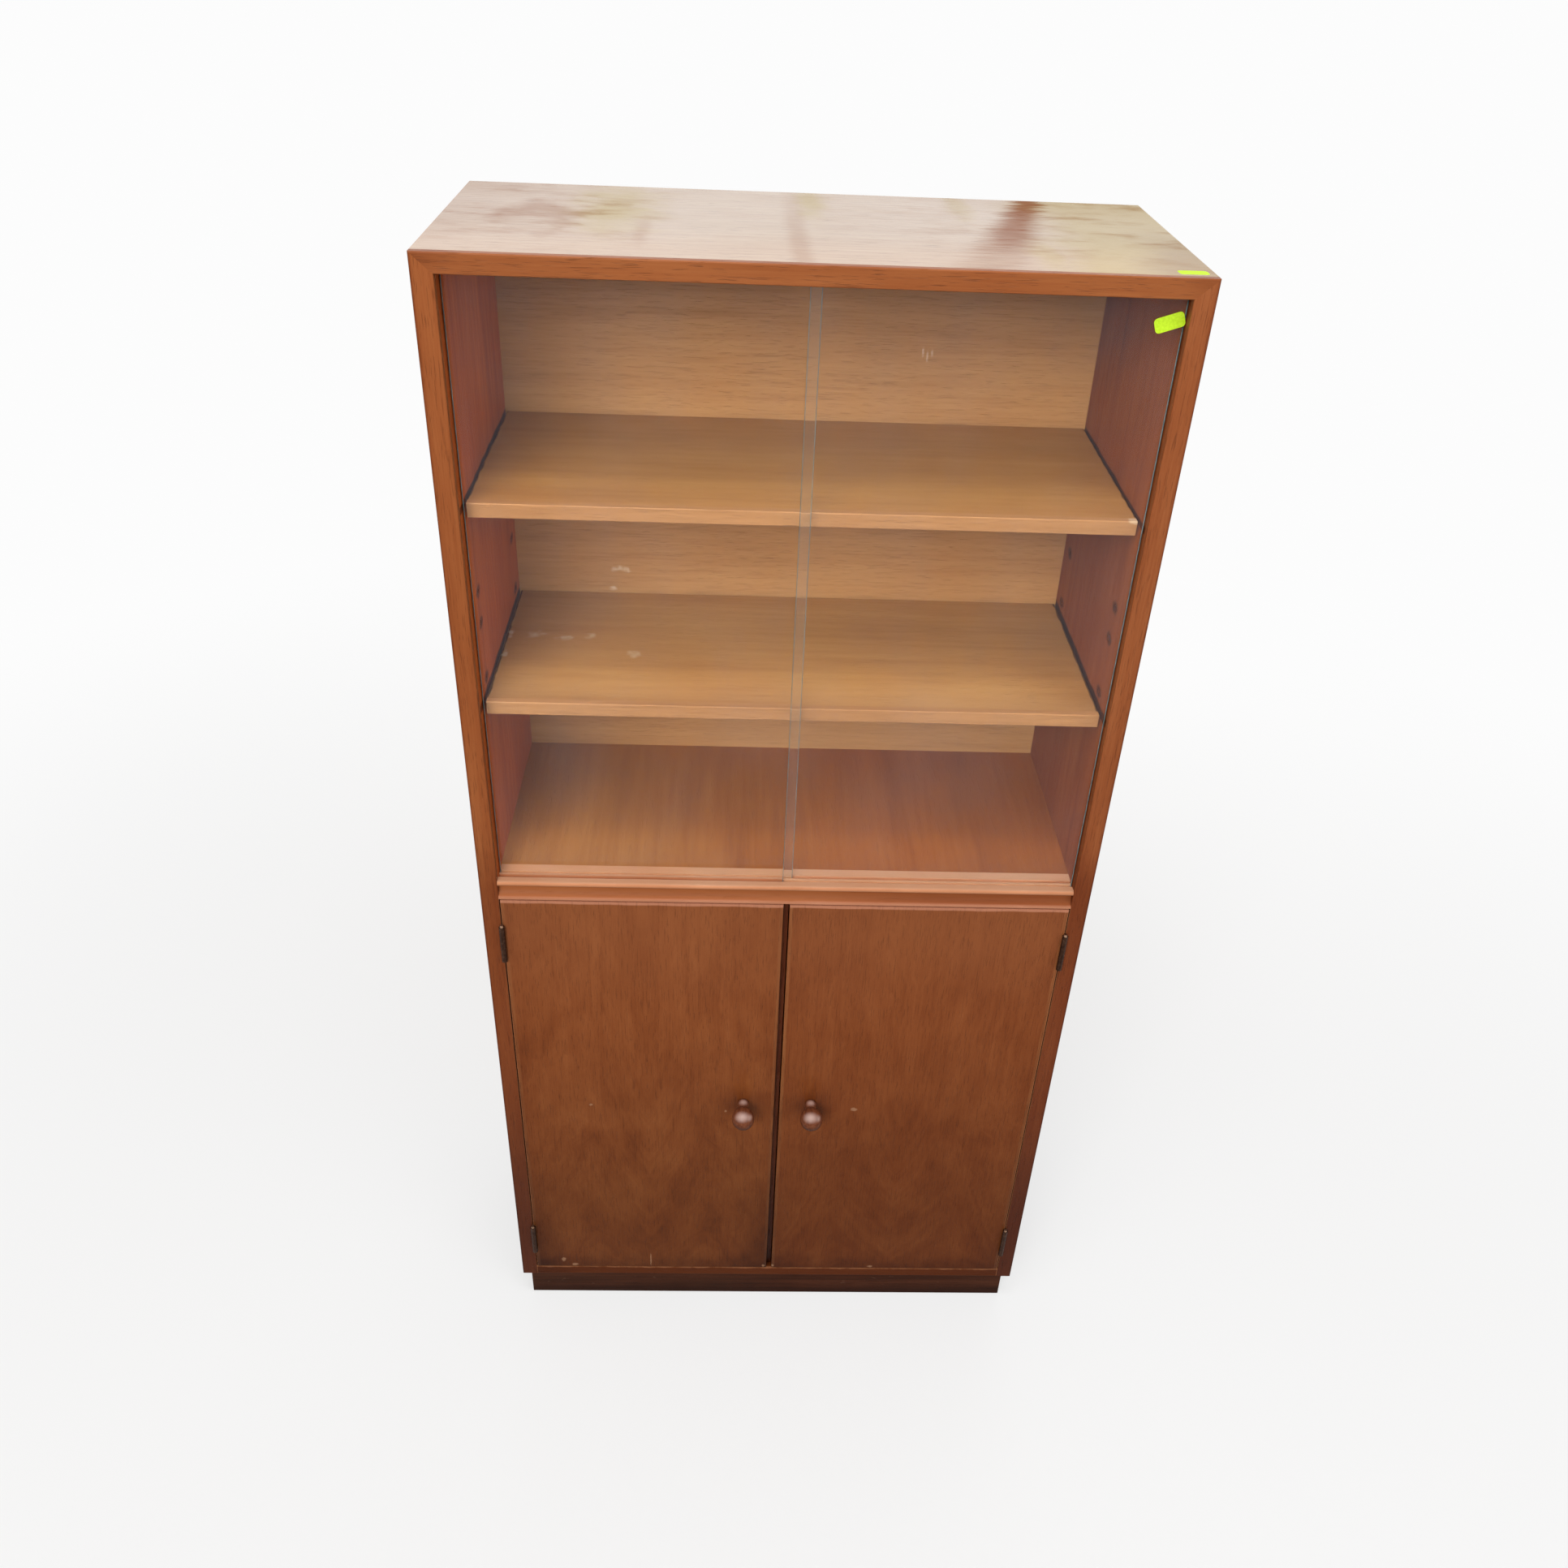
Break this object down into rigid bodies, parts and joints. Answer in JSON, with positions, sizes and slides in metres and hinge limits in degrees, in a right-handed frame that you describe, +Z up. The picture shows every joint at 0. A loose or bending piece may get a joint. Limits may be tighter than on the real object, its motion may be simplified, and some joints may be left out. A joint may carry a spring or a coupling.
{
  "type": "glazed bookcase",
  "caption": "Tall bookcase with sliding glass panes over adjustable shelves above a cupboard with hinged doors and turned knobs, on a recessed plinth.",
  "frame": {"origin": "on the ground, under the middle of the whole outline, knobs included", "axes": "+Z up, the front faces -Y, +X to the right of someone facing the front"},
  "size_m": [0.686, 0.344, 1.416],
  "materials": {
    "case_veneer": "glossy orange-brown veneer",
    "case_lipping": "glossy solid wood",
    "rail_wood": "glossy solid wood",
    "floor_veneer": "satin red-brown veneer",
    "back_ply": "satin plywood",
    "shelf_veneer": "satin golden-brown veneer",
    "shelf_lipping": "satin solid wood",
    "plinth_wood": "dark stained wood",
    "door_veneer": "satin red-brown figured veneer",
    "door_lipping": "satin solid wood",
    "knob_wood": "glossy dark stained wood",
    "hidden_wood": "raw wood",
    "pane_glass": "clear float glass",
    "hinge_bronze": "dark patinated brass",
    "hinge_screw": "dark brass",
    "peg_brass": "dull brass",
    "screw_steel": "dull steel",
    "plate_steel": "plated steel",
    "catch_plastic": "brown moulded plastic"
  },
  "bodies": {
    "case": {"left_side_panel": "case_veneer", "right_side_panel": "case_veneer", "top_panel": "case_veneer", "left_side_lipping": "case_lipping", "right_side_lipping": "case_lipping", "top_lipping": "case_lipping", "bottom_lipping": "case_lipping", "bottom_panel": "floor_veneer", "glazed_floor": "floor_veneer", "front_rail": "rail_wood", "back_panel": "back_ply", "back_panel_pins": "screw_steel", "left_mitre_tongue": "hidden_wood", "right_mitre_tongue": "hidden_wood", "plinth_front": "plinth_wood", "plinth_back": "plinth_wood", "plinth_left": "plinth_wood", "plinth_right": "plinth_wood", "plinth_blocks": "hidden_wood", "plinth_screws": "screw_steel", "upper_shelf": "shelf_veneer", "upper_shelf_lipping": "shelf_lipping", "upper_shelf_pegs": "peg_brass", "lower_shelf": "shelf_veneer", "lower_shelf_lipping": "shelf_lipping", "lower_shelf_pegs": "peg_brass", "cupboard_shelf": "shelf_veneer", "cupboard_shelf_lipping": "shelf_lipping", "cupboard_shelf_pegs": "peg_brass", "door_catches": "catch_plastic", "left_hinge_frame_leaves": "hinge_bronze", "left_hinge_pins": "hinge_bronze", "left_hinge_frame_screws": "hinge_screw", "right_hinge_frame_leaves": "hinge_bronze", "right_hinge_pins": "hinge_bronze", "right_hinge_frame_screws": "hinge_screw"},
    "left_glass": {"left_glass_pane": "pane_glass"},
    "right_glass": {"right_glass_pane": "pane_glass"},
    "left_door": {"left_door_panel": "door_veneer", "left_door_hinge_lipping": "door_lipping", "left_door_meeting_lipping": "door_lipping", "left_knob": "knob_wood", "left_knob_screw": "screw_steel", "left_catch_plate": "plate_steel", "left_hinge_door_leaves": "hinge_bronze", "left_hinge_door_screws": "hinge_screw"},
    "right_door": {"right_door_panel": "door_veneer", "right_door_hinge_lipping": "door_lipping", "right_door_meeting_lipping": "door_lipping", "right_knob": "knob_wood", "right_knob_screw": "screw_steel", "right_catch_plate": "plate_steel", "right_hinge_door_leaves": "hinge_bronze", "right_hinge_door_screws": "hinge_screw"}
  },
  "joints": [
    {"name": "left_glass_slide", "type": "slide", "parent": "case", "child": "left_glass", "axis": [1, 0, 0], "range_m": [0, 0.317]},
    {"name": "right_glass_slide", "type": "slide", "parent": "case", "child": "right_glass", "axis": [-1, 0, 0], "range_m": [0, 0.317]},
    {"name": "left_door_hinge", "type": "hinge", "parent": "case", "child": "left_door", "pos_m": [-0.32225, -0.1335, 0.396], "axis": [0, 0, -1], "range_deg": [0, 175]},
    {"name": "right_door_hinge", "type": "hinge", "parent": "case", "child": "right_door", "pos_m": [0.32225, -0.1335, 0.396], "axis": [0, 0, 1], "range_deg": [0, 175]}
  ]
}
